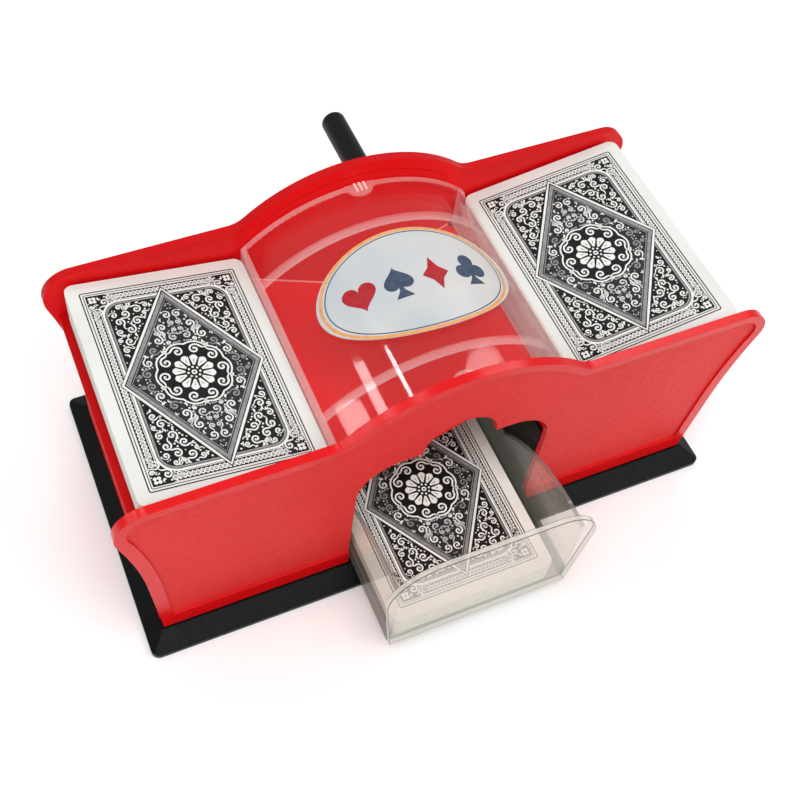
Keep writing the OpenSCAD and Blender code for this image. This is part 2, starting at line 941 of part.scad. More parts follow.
// Flat arm with a round hub at the shaft, a slight waist and a smaller round end at the grip pin
module arm_outline() {
    hub_side = arm_hub_r - arm_waist;
    tip_side = arm_tip_r - arm_waist;
    circle(r = arm_hub_r);
    translate([arm_length, 0]) circle(r = arm_tip_r);
    polygon([[0, hub_side], [0, -hub_side], [arm_length, -tip_side], [arm_length, tip_side]]);
}

module crank_arm() {
    color(BLACK)
        difference() {
            union() {
                upright(arm_y, arm_thick)
                    translate(crank_at) rotate(arm_angle) arm_outline();
                rod(crank_at, arm_y - 0.5, 1, arm_hub_r - 1);
            }
            rod(crank_at, arm_y - 2, arm_thick + 4, shaft_r);
            rod(grip_at, arm_y - 2, arm_thick + 4, axle_r);
            rod(grip_at, arm_y - 2, 3.2, axle_r + 1.6);
        }
}

module arm_screw() {
    color(STEEL)
        difference() {
            union() {
                rod(crank_at, arm_y - 2, arm_thick + 2, 1.25);
                rod(crank_at, arm_y + arm_thick, 1.8, 4.2);
            }
            translate([-3, arm_y + arm_thick + 1, crank_z - 0.4]) cube([6, 2, 0.8]);
            translate([-0.4, arm_y + arm_thick + 1, crank_z - 3]) cube([0.8, 2, 6]);
        }
}

module grip_pin() {
    color(STEEL) {
        rod(grip_at, arm_y + 0.1, grip_bore_end - arm_y - 0.6, axle_r);
        rod(grip_at, arm_y + 0.1, 1.1, axle_r + 1.6);
    }
}

// Sleeve with a domed closed end
module crank_grip() {
    r = grip_d / 2;
    dome = 2.4;
    neck = 1;
    color(BLACK)
        translate([grip_at[0], grip_y, grip_at[1]]) rotate([-90, 0, 0])
            difference() {
                rotate_extrude()
                    polygon(concat([[0, 0], [r - neck, 0], [r, neck], [r, grip_length - dome]],
                        [for (a = [10 : 10 : 90])
                            [r - dome + dome * cos(a), grip_length - dome + dome * sin(a)]],
                        [[0, grip_length]]));
                translate([0, 0, -1]) cylinder(h = grip_bore_end - grip_y + 1, r = axle_r + run);
            }
}

base_plinth();
base_feet();
base_screws();
front_panel();
back_panel();
left_end_wall();
right_end_wall();
left_tray_floor();
right_tray_floor();
left_chamber_wall();
right_chamber_wall();
chamber_floor();
left_card_guide();
right_card_guide();
card_deflector();
drawer_guides();
clear_cover();
cover_badge();
drawer_tray();
drawer_front();
left_deck();
right_deck();
drawer_pile();
crank_shaft();
crank_arm();
arm_screw();
grip_pin();
crank_grip();
crank_gear();
left_idler_gear();
right_inner_idler_gear();
right_outer_idler_gear();
idler_pins();
left_roller_axle();
left_roller_hub();
left_roller_tyres();
left_roller_gear();
right_roller_axle();
right_roller_hub();
right_roller_tyres();
right_roller_gear();
rear_bushes();
front_bushes();
gear_case();
case_bush();
case_screws();
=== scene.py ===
import json
import math
import random
import bmesh
import bpy
from mathutils import Matrix, Vector


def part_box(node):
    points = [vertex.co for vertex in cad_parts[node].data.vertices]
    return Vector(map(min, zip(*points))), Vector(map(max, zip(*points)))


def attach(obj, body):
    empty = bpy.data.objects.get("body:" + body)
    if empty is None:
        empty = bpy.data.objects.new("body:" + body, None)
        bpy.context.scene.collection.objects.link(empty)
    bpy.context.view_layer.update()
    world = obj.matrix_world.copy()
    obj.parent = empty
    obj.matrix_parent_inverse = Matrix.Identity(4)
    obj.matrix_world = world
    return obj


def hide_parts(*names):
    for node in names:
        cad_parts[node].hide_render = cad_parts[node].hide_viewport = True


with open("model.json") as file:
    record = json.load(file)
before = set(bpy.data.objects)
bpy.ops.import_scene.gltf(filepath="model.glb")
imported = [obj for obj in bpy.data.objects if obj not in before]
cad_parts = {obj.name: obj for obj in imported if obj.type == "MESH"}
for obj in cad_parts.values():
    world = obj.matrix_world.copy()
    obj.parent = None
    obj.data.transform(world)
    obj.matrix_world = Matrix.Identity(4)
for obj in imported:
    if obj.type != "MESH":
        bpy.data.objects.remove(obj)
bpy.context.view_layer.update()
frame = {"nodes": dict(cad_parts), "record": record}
NODES = frame["nodes"]
MM = 0.001

# Dimensions of the CAD part, in metres and radians, and its numbers of cards
TRAY_TILT = math.radians(9)
COVER_RADIUS = 60 * MM
COVER_WALL = 2 * MM
BADGE_OVER_COVER = 0.44 * MM
PANEL_THICK = 3.2 * MM
FIELD_DEPTH = 0.8 * MM
DEFLECTOR_HALF = 40.2 * MM
DEFLECTOR_TILT = math.radians(26)
# Width of the painted highlight along the deflector
PAINTED_HIGHLIGHT_WIDTH = 0.5 * MM
DRAWER_FLOOR_TOP = 1.7 * MM
CARD_CORNER = 3.2 * MM
CARDS_IN_DECK = 52
CARDS_IN_PILE = 34

# Where materials change inside a node, in metres
# Reach across X of the painted glow (painted light), and its fade
PAINTED_GLOW_HALF_X = 44 * MM
PAINTED_GLOW_FADE = 4 * MM
# Height below which the drawer's walls carry painted shade
DRAWER_FOOT = 13 * MM
FOOT_BLUR = 0.4 * MM
WALL_TOP_OVER_FLOOR = 5 * MM
RIDGE_OVER_SKIN = 1.0 * MM


# ---------------------------------------------------------------- materials

def srgb(red, green, blue):
    """Linear colour from 0-255 display values."""
    def linear(value):
        value /= 255
        return value / 12.92 if value <= 0.04045 else ((value + 0.055) / 1.055) ** 2.4
    return (linear(red), linear(green), linear(blue), 1.0)


# Painted shade along the foot of the drawer's walls
FOOT_PAINTED_SHADE = srgb(66, 66, 61)
FOOT_SHADE_HAZE = 0.86
FOOT_SHADE_SHEEN_SHARE = 0.4

# Sockets of a colour mix: its factor, its two colours and its result
MIX_FACTOR, MIX_FIRST, MIX_SECOND, MIX_RESULT = 0, 6, 7, 2


class Recipe:
    """A node material under construction."""

    def __init__(self, name):
        self.material = bpy.data.materials.new(name)
        self.material.use_nodes = True
        self.tree = self.material.node_tree
        self.tree.nodes.clear()
        self.output = self.add("ShaderNodeOutputMaterial")
        self.place = self.add("ShaderNodeTexCoord").outputs["Object"]

    def add(self, kind, **values):
        node = self.tree.nodes.new(kind)
        for key, value in values.items():
            setattr(node, key, value)
        return node

    def link(self, source, target):
        self.tree.links.new(source, target)

    def principled(self, colour, roughness, **values):
        shader = self.add("ShaderNodeBsdfPrincipled")
        shader.inputs["Base Color"].default_value = colour
        shader.inputs["Roughness"].default_value = roughness
        for key, value in values.items():
            shader.inputs[key.replace("_", " ")].default_value = value
        return shader

    def noise(self, scale, detail=3.0, roughness=0.5, stretch=None):
        node = self.add("ShaderNodeTexNoise")
        node.inputs["Scale"].default_value = scale
        node.inputs["Detail"].default_value = detail
        node.inputs["Roughness"].default_value = roughness
        source = self.place
        if stretch:
            mapping = self.add("ShaderNodeMapping")
            mapping.inputs["Scale"].default_value = stretch
            self.link(source, mapping.inputs["Vector"])
            source = mapping.outputs[0]
        self.link(source, node.inputs["Vector"])
        return node.outputs["Fac"]

    def spread(self, factor, low, high, start=0.3, end=0.7):
        """Maps a factor to a number from low to high."""
        node = self.add("ShaderNodeMapRange")
        node.inputs["From Min"].default_value = start
        node.inputs["From Max"].default_value = end
        node.inputs["To Min"].default_value = low
        node.inputs["To Max"].default_value = high
        self.link(factor, node.inputs["Value"])
        return node.outputs[0]

    def blend(self, factor, first, second):
        """Mixes two colours by a factor."""
        node = self.add("ShaderNodeMix", data_type="RGBA")
        self.link(factor, node.inputs[MIX_FACTOR])
        node.inputs[MIX_FIRST].default_value = first
        node.inputs[MIX_SECOND].default_value = second
        return node.outputs[MIX_RESULT]

    def calculate(self, operation, first, second=None):
        """One step of arithmetic on a socket; the second value is a number or a socket."""
        node = self.add("ShaderNodeMath", operation=operation)
        self.link(first, node.inputs[0])
        if isinstance(second, (int, float)):
            node.inputs[1].default_value = second
        elif second is not None:
            self.link(second, node.inputs[1])
        return node.outputs[0]

    def axis(self, letter):
        """The X, Y or Z of the place, in the node's own frame."""
        node = self.add("ShaderNodeSeparateXYZ")
        self.link(self.place, node.inputs[0])
        return node.outputs[letter]

    def bump(self, height, depth, shader, strength):
        node = self.add("ShaderNodeBump")
        node.inputs["Strength"].default_value = strength
        node.inputs["Distance"].default_value = depth
        self.link(height, node.inputs["Height"])
        self.link(node.outputs[0], shader.inputs["Normal"])

    def mix(self, factor, first, second):
        """Mixes two shaders by a factor."""
        node = self.add("ShaderNodeMixShader")
        self.link(factor, node.inputs[0])
        self.link(first, node.inputs[1])
        self.link(second, node.inputs[2])
        return node.outputs[0]

    def finish(self, shader):
        self.link(shader, self.output.inputs["Surface"])
        return self.material


def moulded_plastic(name, dark, light, roughness, grain_scale, grain_depth, gloss=0.35, painted_glow=0.0):
    """Moulded plastic with slow shade drift, fine grain, and faint scuffs in its gloss.

    The painted glow is painted light: an emission in the lighter colour that brightens what lies
    behind the clear cover; it fades out at the cover's flanks."""
    r = Recipe(name)
    shader = r.principled(dark, roughness, Specular_IOR_Level=gloss)
    r.link(r.blend(r.spread(r.noise(18, 2), 0, 1), dark, light), shader.inputs["Base Color"])
    scuffs = r.noise(420, 4, 0.7, (1, 0.25, 1))
    r.link(r.spread(scuffs, roughness * 0.8, roughness * 1.25), shader.inputs["Roughness"])
    r.bump(r.noise(grain_scale, 3), grain_depth, shader, 0.6)
    # Painted light: an emission that fades out towards the cover's flanks
    if painted_glow:
        shader.inputs["Emission Color"].default_value = light
        across = r.calculate("ABSOLUTE", r.axis("X"))
        fade = r.spread(across, painted_glow, 0, PAINTED_GLOW_HALF_X - PAINTED_GLOW_FADE, PAINTED_GLOW_HALF_X)
        r.link(fade, shader.inputs["Emission Strength"])
    return r.finish(shader.outputs[0])


def worn_metal(name, dark, light, roughness, stretch):
    """Bright metal with fine drawn or turned lines and a little tarnish."""
    r = Recipe(name)
    shader = r.principled(light, roughness, Metallic=1.0)
    r.link(r.blend(r.spread(r.noise(160, 4), 0, 1), dark, light), shader.inputs["Base Color"])
    lines = r.noise(900, 3, 0.6, stretch)
    r.link(r.spread(lines, roughness * 0.7, roughness * 1.4), shader.inputs["Roughness"])
    r.bump(lines, 0.02 * MM, shader, 0.5)
    return r.finish(shader.outputs[0])


def clear_plastic(name, haze_colour, haze, tint, sheen=0.04, scuff=0.2, painted_glow=0.0, foot=0.0,
                  grazing_sheen=1.0):
    """See-through moulded plastic: tinted clear, a little haze, and a mirror-like skin.

    The sheen is how much the skin reflects when seen square on, and the grazing sheen how much
    when seen along it. The painted glow is painted light: an emission from the haze that brightens
    the plastic. Below the foot's height the plastic is painted darker and less clear, as painted
    shade."""
    r = Recipe(name)
    clear = r.add("ShaderNodeBsdfTransparent")
    clear.inputs["Color"].default_value = tint
    body = r.principled(haze_colour, 0.35, Emission_Color=haze_colour, Emission_Strength=painted_glow)
    r.bump(r.noise(700, 3), 0.01 * MM, body, 0.4)
    body_share = r.spread(r.noise(25, 2, 0.4), haze * (1 - scuff), haze * (1 + scuff))
    skin = r.add("ShaderNodeBsdfGlossy")
    skin.inputs["Roughness"].default_value = 0.04
    r.bump(r.noise(60, 2), 0.03 * MM, skin, 0.12)
    slant = r.add("ShaderNodeLayerWeight")
    slant.inputs["Blend"].default_value = 0.5
    grazing = r.calculate("POWER", slant.outputs["Facing"], 5)
    mirror = r.spread(grazing, sheen, grazing_sheen, 0, 1)
    if foot:
        # Painted shade: below the foot the wall is painted darker, hazier and less glossy
        low = r.spread(r.axis("Z"), 1, 0, foot - FOOT_BLUR, foot + FOOT_BLUR)
        dark = r.blend(low, haze_colour, FOOT_PAINTED_SHADE)
        r.link(dark, body.inputs["Base Color"])
        r.link(dark, body.inputs["Emission Color"])
        body_share = r.calculate("MAXIMUM", body_share, r.spread(low, 0, FOOT_SHADE_HAZE, 0, 1))
        mirror = r.calculate("MULTIPLY", mirror, r.spread(low, 1, FOOT_SHADE_SHEEN_SHARE, 0, 1))
    inside = r.mix(body_share, clear.outputs[0], body.outputs[0])
    return r.finish(r.mix(mirror, inside, skin.outputs[0]))


def card_face(name, dark, light):
    """White coated card with a fine linen emboss."""
    r = Recipe(name)
    shader = r.principled(light, 0.42, Coat_Weight=0.15, Coat_Roughness=0.3)
    r.link(r.blend(r.spread(r.noise(30, 2), 0, 1), dark, light), shader.inputs["Base Color"])
    r.bump(r.noise(2600, 2), 0.015 * MM, shader, 0.5)
    return r.finish(shader.outputs[0])


def card_edge(name):
    """Cut edges of stacked cards: cream layers with slightly darker streaks between them, painted
    shade for the gaps.
    """
    r = Recipe(name)
    shader = r.principled(srgb(226, 224, 214), 0.7)
    layers = r.noise(1400, 3, 0.7, (0.02, 0.02, 1))
    colour = r.blend(r.spread(layers, 0, 1), srgb(202, 200, 190), srgb(238, 237, 229))
    r.link(colour, shader.inputs["Base Color"])
    r.bump(layers, 0.03 * MM, shader, 0.7)
    return r.finish(shader.outputs[0])


def ink(name, dark, light, roughness=0.4):
    """Printing ink, a little uneven, on linen-embossed card."""
    r = Recipe(name)
    shader = r.principled(dark, roughness, Specular_IOR_Level=0.2)
    r.link(r.blend(r.spread(r.noise(500, 4, 0.7), 0, 1), dark, light), shader.inputs["Base Color"])
    r.bump(r.noise(2600, 2), 0.015 * MM, shader, 0.5)
    return r.finish(shader.outputs[0])


def pearl_film(name):
    """Pale printed film with a slow drift from cool to warm white."""
    r = Recipe(name)
    shader = r.principled(srgb(196, 200, 202), 0.25, Coat_Weight=0.4, Coat_Roughness=0.08)
    drift = r.blend(r.spread(r.noise(28, 2), 0, 1), srgb(176, 184, 190), srgb(208, 203, 198))
    r.link(drift, shader.inputs["Base Color"])
    r.bump(r.noise(900, 2), 0.01 * MM, shader, 0.4)
    return r.finish(shader.outputs[0])


RED_GLOSS = moulded_plastic("red_gloss", srgb(206, 8, 13), srgb(215, 13, 17), 0.22, 1500,
                            0.01 * MM, 0.28)
# A darker copy of the red gloss: painted shade
RED_PAINTED_SHADE = moulded_plastic("red_painted_shade", srgb(186, 6, 10), srgb(194, 9, 13), 0.45, 1500,
                             0.01 * MM, 0.12)
RED_FIELD = moulded_plastic("red_textured_field", srgb(206, 26, 25), srgb(214, 35, 33), 0.5, 2400,
                            0.05 * MM, 0.25)
# A lighter copy of the red gloss: painted light for the parts under the cover
RED_INSIDE_PAINTED_LIGHT = moulded_plastic("red_inside_painted_light", srgb(238, 14, 18), srgb(246, 24, 27), 0.4, 1200,
                             0.02 * MM, 0.15)
# A lighter copy of the red with a painted glow: painted light for the back panel's inner face
RED_BEHIND_COVER_PAINTED_LIGHT = moulded_plastic("red_behind_cover_painted_light", srgb(220, 10, 14), srgb(228, 18, 22), 0.4,
                                   1200, 0.02 * MM, 0.15, painted_glow=0.1)
# Pale pink: a painted highlight
RED_PAINTED_HIGHLIGHT = moulded_plastic("red_painted_highlight", srgb(246, 146, 142), srgb(250, 164, 158), 0.35, 1200,
                           0.02 * MM, 0.2)
BLACK_GLOSS = moulded_plastic("black_gloss", srgb(3, 5, 6), srgb(9, 11, 12), 0.3, 1500,
                              0.01 * MM, 0.1)
BLACK_SATIN = moulded_plastic("black_satin", srgb(9, 9, 10), srgb(17, 17, 18), 0.42, 1800,
                              0.03 * MM, 0.2)
NYLON = moulded_plastic("natural_nylon", srgb(222, 216, 198), srgb(236, 231, 216), 0.45, 1500,
                        0.02 * MM)
RUBBER = moulded_plastic("black_rubber", srgb(22, 22, 22), srgb(36, 35, 34), 0.75, 2600,
                         0.05 * MM)
STEEL = worn_metal("drawn_steel", srgb(150, 152, 155), srgb(196, 198, 201), 0.28, (1, 0.02, 1))
BRASS = worn_metal("turned_brass", srgb(168, 128, 60), srgb(212, 172, 92), 0.3, (1, 0.1, 1))
# The cover's haze is the plastic's own; its pink colour is a painted reflection of the red
# housing, and the edges' glow is painted light
CLEAR = clear_plastic("clear_cover_shell", srgb(246, 236, 236), 0.008, (0.99, 0.985, 0.985, 1),
                      sheen=0.022)
CLEAR_EDGE_PAINTED_GLOW = clear_plastic("clear_cover_edge_painted_glow", srgb(250, 222, 220), 0.22, (0.98, 0.96, 0.96, 1),
                           sheen=0.03, painted_glow=0.3)
CLEAR_RIDGE_PAINTED_GLOW = clear_plastic("clear_cover_ridge_painted_glow", srgb(252, 232, 230), 0.5, (0.98, 0.96, 0.96, 1),
                            painted_glow=0.5)
# The drawer's smoky plastics carry a painted glow: painted light that lightens them, most of all
# the whitish front plate; their tints and haze are the plastic's own
SMOKE_FLOOR = clear_plastic("smoky_floor", srgb(168, 165, 152), 0.6, (0.6, 0.595, 0.56, 1),
                            painted_glow=0.2)
SMOKE_WALL = clear_plastic("smoky_wall", srgb(204, 201, 191), 0.08, (0.965, 0.965, 0.945, 1),
                           sheen=0.05, painted_glow=0.3, foot=DRAWER_FOOT, grazing_sheen=0.5)
SMOKE_FRONT = clear_plastic("smoky_front", srgb(232, 227, 218), 0.115, (0.94, 0.93, 0.905, 1),
                            scuff=0.05, painted_glow=0.45)
SMOKE_RIM = clear_plastic("smoky_rim", srgb(206, 205, 197), 0.5, (0.8, 0.8, 0.77, 1), painted_glow=0.4)
WALL_TOP = clear_plastic("smoky_wall_top", srgb(134, 132, 124), 0.5, (0.75, 0.75, 0.72, 1),
                         painted_glow=0.1)
SMOKE_EDGE = clear_plastic("smoky_edge", srgb(74, 74, 70), 0.75, (0.5, 0.5, 0.48, 1))
CARD_FACE = card_face("card_face", srgb(210, 211, 206), srgb(220, 221, 217))
# A lighter copy of the card face: painted light on the pile in the drawer
PILE_FACE_PAINTED_LIGHT = card_face("card_face_of_the_pile_painted_light", srgb(238, 236, 226), srgb(247, 246, 239))
CARD_EDGE = card_edge("card_edge")
INK_BLACK = ink("ink_black", srgb(10, 10, 11), srgb(26, 26, 27))
INK_CHARCOAL = ink("ink_charcoal", srgb(30, 30, 31), srgb(46, 46, 47))
INK_GREY = ink("ink_grey", srgb(118, 118, 118), srgb(150, 150, 149))
INK_WHITE = ink("ink_white", srgb(214, 215, 211), srgb(228, 228, 225))
# A lighter copy of the white ink: painted light on the pile in the drawer
PILE_WHITE_PAINTED_LIGHT = ink("ink_white_of_the_pile_painted_light", srgb(238, 237, 230), srgb(248, 247, 242))
INK_SILVER = ink("ink_silver_grey", srgb(184, 186, 187), srgb(208, 209, 208))
PEARL = pearl_film("pearl_film")
INK_RED = ink("ink_deep_red", srgb(150, 26, 34), srgb(178, 38, 44), 0.3)
INK_BLUE = ink("ink_slate_blue", srgb(50, 62, 82), srgb(74, 88, 110), 0.3)
INK_GOLD = ink("ink_gold", srgb(204, 138, 74), srgb(226, 168, 104), 0.3)

SLOT_LOOKS = {
    "red_gloss_plastic": RED_GLOSS, "black_gloss_plastic": BLACK_GLOSS,
    "black_satin_plastic": BLACK_SATIN, "clear_plastic": CLEAR, "smoky_plastic": SMOKE_WALL,
    "badge_print": PEARL, "card_paper": CARD_FACE, "natural_nylon": NYLON, "steel": STEEL,
    "brass_bush": BRASS, "black_rubber": RUBBER,
}


# ---------------------------------------------------------------- CAD nodes

def dress(node, material):
    """Gives a CAD node one material."""
    mesh = NODES[node].data
    mesh.materials.clear()
    mesh.materials.append(material)


def paint_faces(node, material, rule):
    """Gives a second material to the faces whose centre and normal meet the rule."""
    mesh = NODES[node].data
    mesh.materials.append(material)
    index = len(mesh.materials) - 1
    for face in mesh.polygons:
        if rule(face.center, face.normal):
            face.material_index = index


WELD_DISTANCE = 0.002 * MM
FLAT_ANGLE = math.radians(0.4)
EDGE_ANGLE = math.radians(35)


def soften(node, width, material=-1):
    """Rounds a CAD node's sharp edges with modifiers; its own vertices stay as they are.

    The round itself can have a material slot of its own."""
    part = NODES[node]
    weld = part.modifiers.new("weld", "WELD")
    weld.merge_threshold = WELD_DISTANCE
    flat = part.modifiers.new("flat_faces", "DECIMATE")
    flat.decimate_type = "DISSOLVE"
    flat.angle_limit = FLAT_ANGLE
    flat.delimit = {"MATERIAL"}
    bevel = part.modifiers.new("round_edges", "BEVEL")
    bevel.width = width
    bevel.segments = 2
    bevel.material = material
    bevel.limit_method = "ANGLE"
    bevel.angle_limit = EDGE_ANGLE
    shade = part.modifiers.new("shade", "WEIGHTED_NORMAL")
    shade.keep_sharp = True


for row in frame["record"]["subparts"]:
    dress(row["node"], SLOT_LOOKS[row["material_slot"]])

# Painted light: the chamber's parts under the cover in the lighter red copy
for node in ("left_chamber_wall", "right_chamber_wall", "chamber_floor", "left_card_guide",
             "right_card_guide", "card_deflector"):
    dress(node, RED_INSIDE_PAINTED_LIGHT)
# Painted shade: the end walls, tray floors and back panel in the darker red copy
for node in ("back_panel", "left_end_wall", "right_end_wall", "left_tray_floor",
             "right_tray_floor"):
    dress(node, RED_PAINTED_SHADE)

# The panels' sunk fields, and the back panel's inner face in the lighter red with painted light
front_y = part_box("front_panel")[0].y
back_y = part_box("back_panel")[1].y
paint_faces("front_panel", RED_FIELD, lambda centre, normal:
            normal.y < -0.9 and abs(centre.y - (front_y + FIELD_DEPTH)) < FIELD_DEPTH / 2)
paint_faces("back_panel", RED_FIELD, lambda centre, normal:
            normal.y > 0.9 and abs(centre.y - (back_y - FIELD_DEPTH)) < FIELD_DEPTH / 2)
paint_faces("back_panel", RED_BEHIND_COVER_PAINTED_LIGHT, lambda centre, normal:
            normal.y < -0.9 and abs(centre.y - (back_y - PANEL_THICK)) < FIELD_DEPTH / 2)

cover_low, cover_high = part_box("clear_cover")
cover_half = (cover_high.x - cover_low.x) / 2
badge_low, badge_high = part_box("cover_badge")
COVER_AXIS = badge_high.z - COVER_RADIUS - BADGE_OVER_COVER

# How far the centre of one of the cover's faces may be off the surface it belongs to
OUTSIDE_SLACK = 0.25 * MM
INSIDE_SLACK = 0.3 * MM
SIDE_SLACK = 0.2 * MM


def cover_reach(centre):
    """Distance of a point from the cover's axis."""
    return math.hypot(centre.x, centre.z - COVER_AXIS)


def on_cover_edge(centre, normal):
    """True on the gate walls, the ribs, the rims and the finger tabs."""
    reach = cover_reach(centre)
    beyond_skin = reach > COVER_RADIUS + OUTSIDE_SLACK
    inside_skin = reach < COVER_RADIUS - COVER_WALL - INSIDE_SLACK
    at_side = abs(centre.x) > cover_half - COVER_WALL - SIDE_SLACK
    return at_side or beyond_skin or inside_skin


# The cover's edges and ridges: hazier plastic with a pink painted reflection and a painted glow
paint_faces("clear_cover", CLEAR_EDGE_PAINTED_GLOW, on_cover_edge)
paint_faces("clear_cover", CLEAR_RIDGE_PAINTED_GLOW, lambda centre, normal:
            cover_reach(centre) > COVER_RADIUS + RIDGE_OVER_SKIN)

drawer_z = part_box("drawer_tray")[0].z
paint_faces("drawer_tray", SMOKE_FLOOR, lambda centre, normal:
            centre.z < drawer_z + DRAWER_FLOOR_TOP)
paint_faces("drawer_tray", WALL_TOP, lambda centre, normal:
            normal.z > 0.5 and centre.z > drawer_z + WALL_TOP_OVER_FLOOR)
dress("drawer_front", SMOKE_FRONT)
paint_faces("drawer_front", SMOKE_RIM, lambda centre, normal: abs(normal.y) < 0.5)
NODES["drawer_front"].data.materials.append(SMOKE_EDGE)
DRAWER_EDGE_LINE = len(NODES["drawer_front"].data.materials) - 1

for node, width in (("front_panel", 0.45), ("back_panel", 0.45), ("base_plinth", 0.4),
                    ("left_end_wall", 0.3), ("right_end_wall", 0.3), ("crank_arm", 0.5),
                    ("gear_case", 0.5)):
    soften(node, width * MM)
soften("drawer_front", 0.25 * MM, material=DRAWER_EDGE_LINE)


# ---------------------------------------------------------------- cards

def rounded_rectangle(half_x, half_y, corner, steps=5):
    """Outline points of a rectangle with round corners, counter-clockwise."""
    points = []
    for turn, sx, sy in ((0, 1, 1), (90, -1, 1), (180, -1, -1), (270, 1, -1)):
        for step in range(steps + 1):
            angle = math.radians(turn + 90 * step / steps)
            points.append((sx * (half_x - corner) + corner * math.cos(angle),
                           sy * (half_y - corner) + corner * math.sin(angle)))
    return points


def finish_mesh(name, bm):
    """Turns a bmesh into a mesh and frees it."""
    mesh = bpy.data.meshes.new(name)
    bm.to_mesh(mesh)
    bm.free()
    return mesh


def new_piece(name, mesh, body, materials):
    """Adds a mesh to the scene as a piece that rides on a body."""
    piece = bpy.data.objects.new(name, mesh)
    bpy.context.scene.collection.objects.link(piece)
    for material in materials:
        mesh.materials.append(material)
    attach(piece, body)
    return piece


class CardPlane:
    """Where a deck's cards lie: their middle, half sizes, slope along X and heights."""

    def __init__(self, node, tilt):
        low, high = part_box(node)
        self.middle = (low + high) / 2
        self.half_x = (high.x - low.x) / 2
        self.half_y = (high.y - low.y) / 2
        self.slope = math.tan(tilt)
        rise = 2 * self.half_x * abs(self.slope)
        self.low = low.z + rise / 2
        self.thick = high.z - low.z - rise

    def point(self, x, y, height):
        """The point at x and y from the middle of the plan, that high over the lowest card."""
        return Vector((self.middle.x + x, self.middle.y + y, self.low + height + self.slope * x))


CARD_SHARE = 0.9  # of the pitch; the rest is the gap to the next card
CARD_DRIFT_X, CARD_DRIFT_Y = 0.09 * MM, 0.16 * MM
CARD_TURN_DEGREES = 0.08


def card_stack(name, node, body, tilt, cards, seed, face):
    """A deck of separate cards, each a little out of line; returns where they lie."""
    chance = random.Random(seed)
    plane = CardPlane(node, tilt)
    pitch = plane.thick / cards
    card = pitch * CARD_SHARE
    outline = rounded_rectangle(plane.half_x, plane.half_y, CARD_CORNER)
    bm = bmesh.new()
    for number in range(cards):
        top_card = number == cards - 1
        drift_x = 0 if top_card else chance.uniform(-CARD_DRIFT_X, CARD_DRIFT_X)
        drift_y = 0 if top_card else chance.uniform(-CARD_DRIFT_Y, CARD_DRIFT_Y)
        turn = 0 if top_card else math.radians(chance.uniform(-CARD_TURN_DEGREES,
                                                              CARD_TURN_DEGREES))
        rings = []
        for height in (number * pitch, number * pitch + card):
            rings.append([bm.verts.new(plane.point(x - turn * y + drift_x,
                                                   y + turn * x + drift_y, height))
                          for x, y in outline])
        bottom, top = rings
        bm.faces.new(reversed(bottom))
        bm.faces.new(top)
        for i in range(len(outline)):
            j = (i + 1) % len(outline)
            side = bm.faces.new((bottom[i], bottom[j], top[j], top[i]))
            side.material_index = 1
    piece = new_piece(name, finish_mesh(name, bm), body, (face, CARD_EDGE))
    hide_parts(node)
    return plane


class Print:
    """Flat printed shapes, in millimetres from the middle of a card or badge."""

    def __init__(self):
        self.shapes = []

    def fill(self, points, ink_number, layer):
        self.shapes.append((list(points), ink_number, layer))

    def ribbon(self, points, widths, ink_number, layer, closed=False):
        """A strip along the points; widths is one number or one for each point."""
        count = len(points)
        if not isinstance(widths, list):
            widths = [widths] * count
        left, right = [], []
        for i, (x, y) in enumerate(points):
            before = points[(i - 1) % count] if closed or i else points[i]
            after = points[(i + 1) % count] if closed or i < count - 1 else points[i]
            dx, dy = after[0] - before[0], after[1] - before[1]
            length = math.hypot(dx, dy) or 1
            nx, ny = -dy / length * widths[i] / 2, dx / length * widths[i] / 2
            left.append((x + nx, y + ny))
            right.append((x - nx, y - ny))
        last = count if closed else count - 1
        for i in range(last):
            j = (i + 1) % count
            self.fill((right[i], right[j], left[j], left[i]), ink_number, layer)

    def disc(self, x, y, radius, ink_number, layer, sides=10):
        self.fill([(x + radius * math.cos(2 * math.pi * i / sides),
                    y + radius * math.sin(2 * math.pi * i / sides)) for i in range(sides)],
                  ink_number, layer)

    def mesh(self, name, place):
        """Builds the shapes with place(x, y, layer) giving each point's position."""
        bm = bmesh.new()
        for points, ink_number, layer in self.shapes:
            face = bm.faces.new([bm.verts.new(place(x, y, layer)) for x, y in points])
            face.material_index = ink_number
        bmesh.ops.recalc_face_normals(bm, faces=bm.faces)
        return finish_mesh(name, bm)


# The card back's inks, and its sizes in millimetres
BLACK, GREY, WHITE, CHARCOAL, SILVER = range(5)
PATTERN_HALF_X, PATTERN_HALF_Y = 27.0, 39.5
FIELD_X, FIELD_Y, FIELD_CORNER = 21.3, 33.8, 6.0
LOZENGE_X, LOZENGE_Y = 23.6, 36.2
RULE_STEP = 0.95
BAND_INSET = 1.5
BAND_GAP = 0.9
BAND_EDGE = 0.24
MEDALLION = 12.6
SCALLOP = 0.9
CURL_RING, CURL_SIZE = 9.5, 2.15
PETAL_ROOT, PETAL_SHOULDER, PETAL_BULGE = 2.9, 6.2, 0.9
SCROLL_SIZES = (1.9, 1.55, 1.25, 1.0, 0.75, 0.5, 0.35)
TRIES_PER_SIZE = 1100
SMALLEST_SCROLL, SMALLEST_LEAF = 0.9, 0.6
SCATTER_MARGIN = 4
TAIL_STEPS, TAIL_BEND, TAIL_PACE = 5, 0.42, 0.3
ROPE_WAVE = 2.9
ROPE_END = 3.4


def spiral_points(x, y, size, start, hand, turns=1.2, steps=14):
    """Points of a spiral that winds in from its rim to a small eye."""
    points = []
    for step in range(steps + 1):
        share = step / steps
        radius = size * (1 - 0.82 * share)
        angle = start + hand * 2 * math.pi * turns * share
        points.append((x + radius * math.cos(angle), y + radius * math.sin(angle)))
    return points


